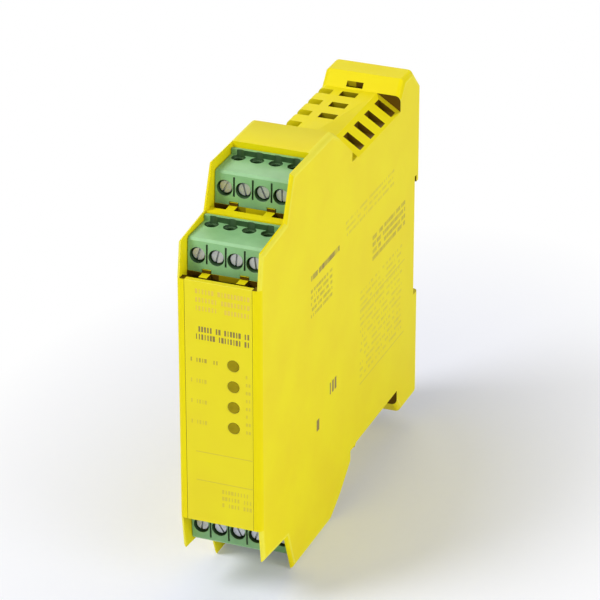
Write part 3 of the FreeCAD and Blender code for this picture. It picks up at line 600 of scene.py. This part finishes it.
# %% Cook the sixteen screws
SHANK_SHARE, SLOT_SWING = 0.7, 38
turns = random.Random(25)
for node in [name for name in frame["nodes"] if "_screw_" in name]:
    low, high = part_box(node)
    middle = (low + high) / 2
    radius = (high.x - low.x) / 2
    mesh = screw.cook(finishes["screw_steel"], {
        "Head radius": radius, "Shank radius": radius * SHANK_SHARE, "Length": high.y - low.y})
    slant = Matrix.Rotation(math.radians(turns.uniform(-SLOT_SWING, SLOT_SWING)), 4, "Z")
    lay_down = Matrix.Rotation(math.radians(90), 4, "X")
    mesh.transform(Matrix.Translation((middle.x, low.y, middle.z)) @ lay_down @ slant)
    mesh.shade_smooth()
    mesh.set_sharp_from_angle(angle=SMOOTH)
    stand_for(node, node + "_turned", mesh)
print("last screw", node, len(mesh.polygons), "faces")

# %% [markdown]
# ## Foot spring
#
# A small compression spring presses the rail foot against the rail. Its ends are closed: the first and the
# last turn lie flat on the seats. The recipe takes a flat spiral and lifts each point by a formula of its
# place along the wire, one wire's thickness for an end turn and the rest for the turns between. When the
# foot is pulled down the real coil gets shorter.

# %% Spring recipe
spring = Recipe("closed_coil", {
    "Radius": ("Float", 1.8 * MM), "Wire": ("Float", 0.5 * MM), "Height": ("Float", 12.3 * MM),
    "Turns": ("Float", 6.5)})
size = spring.entry
ring = spring.add("GeometryNodeCurveSpiral", None, {
    "Resolution": 24, "Rotations": size["Turns"], "Height": 0.0,
    "Start Radius": size["Radius"], "End Radius": size["Radius"]})
turn = spring.add("GeometryNodeSplineParameter")["Factor"] * size["Turns"]
first_turn = turn.held()
last_turn = (turn - (size["Turns"] - 1.0)).held()
between = ((turn - 1.0) / (size["Turns"] - 2.0)).held()
rise = size["Wire"] * (0.5 + first_turn + last_turn) + (size["Height"] - 3.0 * size["Wire"]) * between
lifted_ring = spring.add("GeometryNodeSetPosition", None, {
    "Geometry": ring, "Offset": spring.add("ShaderNodeCombineXYZ", None, {"Z": rise})})
wire = spring.add("GeometryNodeCurvePrimitiveCircle", None, {
    "Resolution": 12, "Radius": size["Wire"] * 0.5})
spring.close(spring.add("GeometryNodeCurveToMesh", None, {
    "Curve": lifted_ring, "Profile Curve": wire, "Fill Caps": True}))

low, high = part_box("foot_spring")
joints = {joint["name"]: joint for joint in frame["record"]["behaviour"]["joints"]}
travel = joints["rail_foot_pull"]["range_m"][1]
outer, wire_thick = (high.x - low.x) / 2, 0.5 * MM
mesh = spring.cook(finishes["spring_steel"], {
    "Radius": outer - wire_thick / 2, "Wire": wire_thick, "Height": high.z - low.z})
mesh.transform(Matrix.Translation(((low.x + high.x) / 2, (low.y + high.y) / 2, low.z)))
mesh.shade_smooth()
coil_piece = stand_for("foot_spring", "foot_spring_coil", mesh)
(high.z - low.z - travel) / (high.z - low.z)
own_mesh(coil_piece)
print("spring", len(mesh.polygons), "faces, squashes by", round(travel / MM, 2), "mm")

# %% [markdown]
# ## Printing
#
# The cover and the right side carry fine print on the real product. Words would name a maker or a model, so
# the print here is plain rows of upright strokes, which keep the grey of the text blocks and say nothing.
# One recipe sets strokes of random width in rows and columns with gaps between words. A single stroke of
# full size makes a rule or a mark. All are flakes of ink, a few hundredths of a millimetre thick.

# %% Print recipe
text = Recipe("rows_of_strokes", {
    "Rows": ("Int", 2), "Strokes": ("Int", 12), "Length": ("Float", 10 * MM),
    "Row pitch": ("Float", 2 * MM), "Stroke height": ("Float", 1.3 * MM),
    "Narrowest": ("Float", 0.3), "Widest": ("Float", 0.8),
    "Kept": ("Float", 0.85), "Ink": ("Float", 0.03 * MM), "Seed": ("Int", 1)})
size = text.entry
stroke_pitch = size["Length"] / size["Strokes"]
across = text.add("ShaderNodeCombineXYZ", None, {"X": stroke_pitch})
row = text.add("GeometryNodeMeshLine", None, {
    "Count": size["Strokes"], "Offset": across,
    "Start Location": text.add("ShaderNodeCombineXYZ", None, {"X": 0.5 * stroke_pitch})})
down = text.add("ShaderNodeCombineXYZ", None, {"Y": 0.0 - size["Row pitch"]})
starts = text.add("GeometryNodeMeshLine", None, {"Count": size["Rows"], "Offset": down})
grid = text.add("GeometryNodeRealizeInstances", None, {
    "Geometry": text.add("GeometryNodeInstanceOnPoints", None, {"Points": starts, "Instance": row})})
width_share = text.add("FunctionNodeRandomValue", {"data_type": "FLOAT"}, {
    2: size["Narrowest"], 3: size["Widest"], 8: size["Seed"]})[1]
kept = text.add("FunctionNodeRandomValue", {"data_type": "BOOLEAN"}, {
    6: size["Kept"], 8: size["Seed"]})[3]
stroke = text.add("GeometryNodeMeshCube", None, {"Size": text.add("ShaderNodeCombineXYZ", None, {
    "X": stroke_pitch, "Y": size["Stroke height"], "Z": size["Ink"]})})
text.close(text.add("GeometryNodeInstanceOnPoints", None, {
    "Points": grid, "Selection": kept, "Instance": stroke,
    "Scale": text.add("ShaderNodeCombineXYZ", None, {"X": width_share, "Y": 1.0, "Z": 1.0})}))
print("print of", len(text.tree.nodes), "nodes")

# %% Two printed faces
cover_low, cover_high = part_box("front_cover")
side_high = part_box("housing_right")[1]
face_front = Matrix.Translation((0, cover_low.y, 0)) @ Matrix.Rotation(math.radians(90), 4, "X")
face_side = (Matrix.Translation((side_high.x, cover_low.y, 0))
             @ Matrix.Rotation(math.radians(90), 4, "Z") @ Matrix.Rotation(math.radians(90), 4, "X"))


def print_rows(name, face, corner, ink, length, height, rows=1, pitch=0.0, strokes=1, kept=1.0,
               widest=0.8):
    """Rows from their upper left corner, in millimetres on a printed face; one stroke is a rule or a mark."""
    narrowest = 1.0 if strokes == 1 else 0.3
    mesh = text.cook(inks[ink], {
        "Rows": rows, "Strokes": strokes, "Length": length * MM, "Row pitch": pitch * MM,
        "Stroke height": height * MM, "Narrowest": narrowest, "Widest": max(widest, narrowest), "Kept": kept,
        "Seed": len(name) + round(corner[0] * 7)})
    mesh.transform(face @ Matrix.Translation((corner[0] * MM, (corner[1] - height / 2) * MM, 0)))
    return show(name, mesh, "housing", inks[ink])


# %% Print on the cover
LED_TOP, LED_PITCH = 12.6, 5.77
print_rows("cover_head", face_front, (-6.2, 31.6), "warm", 14.6, 1.3, 3, 2.3, 17, 0.9)
print_rows("cover_title", face_front, (-6.2, 21.4), "dark", 14.5, 1.5, 2, 2.1, 19, 0.9)
for index in range(4):
    long, ink = (7.6, "middle") if index == 0 else (5.2, "faint")
    level = LED_TOP - LED_PITCH * index
    print_rows("cover_label_%d" % (index + 1), face_front, (-7.7, level), ink, long, 1.1,
               strokes=round(long * 1.3), kept=0.85)
print_rows("cover_column", face_front, (7.0, 10.0), "faint", 1.5, 0.9, 8, 2.2, 2, 0.9)
for index, height in enumerate((-13.5, -21.6)):
    print_rows("cover_rule_%d" % (index + 1), face_front, (-6.4, height), "faint", 15.2, 0.25)
print_rows("cover_foot", face_front, (0.4, -23.4), "faint", 8.2, 1.1, 3, 1.9, 10, 0.8)
print("cover print done")

# %% Print on the side plate
print_rows("side_heading", face_side, (33.5, 22.6), "dark", 20.0, 1.5, strokes=26, kept=0.94, widest=0.95)
print_rows("side_text", face_side, (33.5, 18.6), "middle", 15.0, 0.9, 5, 1.75, 22, 0.8)
print_rows("side_small", face_side, (58.0, 27.0), "faint", 36.0, 0.8, 3, 1.8, 46, 0.75)
print_rows("side_plate_block", face_side, (78.0, 14.2), "middle", 25.0, 1.2, 4, 2.0, 32, 0.9)
print_rows("side_list", face_side, (69.0, 2.0), "faint", 32.0, 0.8, 14, 1.9, 40, 0.7)
print_rows("side_rule_upper", face_side, (69.0, -3.4), "faint", 34.0, 0.3)
print_rows("side_rule_lower", face_side, (69.0, -25.2), "faint", 34.0, 0.3)
print_rows("side_mark_front", face_side, (37.6, -20.6), "dark", 1.8, 3.2)
print_rows("side_marks_rear", face_side, (46.4, -14.2), "dark", 5.6, 3.4, strokes=3, widest=0.7)
print("side print done")

# %% [markdown]
# ## Finish for the pieces that stay as they are
#
# Cages, contacts and pins are stamped metal with crisp edges, and the headers, the board and what it carries
# sit inside the housing. Their CAD shapes serve, and only their material changes.

# %% Paint the remaining CAD nodes
for node, item in frame["nodes"].items():
    if not item.hide_render:
        item.data.materials.clear()
        item.data.materials.append(finishes[slot_of_node[node]])
        print(node, end=" ")
print()

# %% [markdown]
# ## Camera, floor and light
#
# The camera stands high to the right and looks down at the front, with a long lens, as for a catalogue
# picture. The floor is card that keeps the shadow near the part and turns white away from it. Two large
# soft lamps light the front and the right side, a weaker one lights the back, and a pale world fills the
# rest.

# %% Camera
TURN, TILT, DISTANCE = math.radians(21.46), math.radians(26.52), 0.923
AIM = Vector((0.0, cad_box[0].y + 57.15 * MM, 0.0))
ahead = Vector((-math.sin(TURN) * math.cos(TILT), math.cos(TURN) * math.cos(TILT), -math.sin(TILT)))
camera = bpy.data.objects.new("camera", bpy.data.cameras.new("camera"))
bpy.context.scene.collection.objects.link(camera)
camera.location = AIM - DISTANCE * ahead
camera.rotation_mode = "QUATERNION"
camera.rotation_quaternion = ahead.to_track_quat("-Z", "Y")
camera.data.lens = 212.5
camera.data.shift_x = -0.006
camera.data.shift_y = 0.0185
camera.data.clip_start = 0.01
bpy.context.scene.camera = camera
print("camera at", [round(value, 3) for value in camera.location])


# %% Floor
def seen_directly(tree):
    """1 where a ray comes from the camera, from a glossy surface or through glass, and 0 elsewhere."""
    path = tree.add("ShaderNodeLightPath")
    glossy = path["Is Camera Ray"].maths("MAXIMUM", path["Is Camera Ray"], path["Is Glossy Ray"])
    return glossy.maths("MAXIMUM", glossy, path["Is Transmission Ray"])


NEAR_GLOW = 0.16
CENTRE, STRETCH = (0.0, 33 * MM, -cad_box[0].z), (1.0, 0.6, 1.0)


def white_card(shadowed, plain):
    """Matt card that keeps the shadow up to the first distance and is pure white from the second one."""
    made, tree = material("white_card")
    grain = noise(tree, 2 * MM)
    matt = tree.add("ShaderNodeBsdfDiffuse", None, {
        "Color": tree.blend(grain, (0.84, 0.86, 0.97, 1), (0.82, 0.84, 0.95, 1))})
    white = tree.add("ShaderNodeEmission", None, {"Strength": 1.0})
    spot = tree.add("ShaderNodeMapping", None, {
        "Vector": tree.add("ShaderNodeTexCoord")["Object"], "Location": CENTRE, "Scale": STRETCH})
    away = tree.add("ShaderNodeVectorMath", {"operation": "LENGTH"}, {0: spot})["Value"]
    share = NEAR_GLOW + (1.0 - NEAR_GLOW) * ((away - shadowed) / (plain - shadowed)).held()
    surface(tree, tree.add("ShaderNodeMixShader", None, {0: share * seen_directly(tree), 1: matt, 2: white}))
    return made


half, level = 3.0, cad_box[0].z - 0.1 * MM
floor_mesh = bpy.data.meshes.new("floor")
corners = [(-half, -half, level), (half, -half, level), (half, half, level), (-half, half, level)]
floor_mesh.from_pydata(corners, [], [(0, 1, 2, 3)])
floor = bpy.data.objects.new("floor", floor_mesh)
bpy.context.scene.collection.objects.link(floor)
floor_mesh.materials.append(white_card(40 * MM, 110 * MM))
print("floor at", round(level / MM, 1), "mm")


# %% Lamps and room
def lamp(name, place, size, power):
    light = bpy.data.lights.new(name, "AREA")
    light.shape = "DISK"
    light.size = size
    light.energy = power
    item = bpy.data.objects.new(name, light)
    bpy.context.scene.collection.objects.link(item)
    item.location = place
    item.rotation_mode = "QUATERNION"
    item.rotation_quaternion = (AIM - Vector(place)).to_track_quat("-Z", "Y")


lamp("key", (-0.6, -0.6, 0.85), 0.5, 8.7)
lamp("fill", (1.1, -0.45, 0.35), 0.8, 7.8)
lamp("back", (-0.3, 0.9, 0.8), 0.8, 2.4)

ROOM_LIGHT = 0.31
world = bpy.data.worlds.new("pale_room")
world.use_nodes = True
world.node_tree.nodes.clear()
room = Tree(world.node_tree)
backdrop = room.add("ShaderNodeBackground", None, {
    "Color": (1, 1, 1, 1), "Strength": ROOM_LIGHT + (1.0 - ROOM_LIGHT) * seen_directly(room)})
room.add("ShaderNodeOutputWorld", None, {"Surface": backdrop})
bpy.context.scene.world = world
bpy.context.scene.view_settings.view_transform = "Standard"
print("lamps", [light.name for light in bpy.data.lights])

# %% Sizes and the end
print("CAD box", [list(corner) for corner in cad_box])
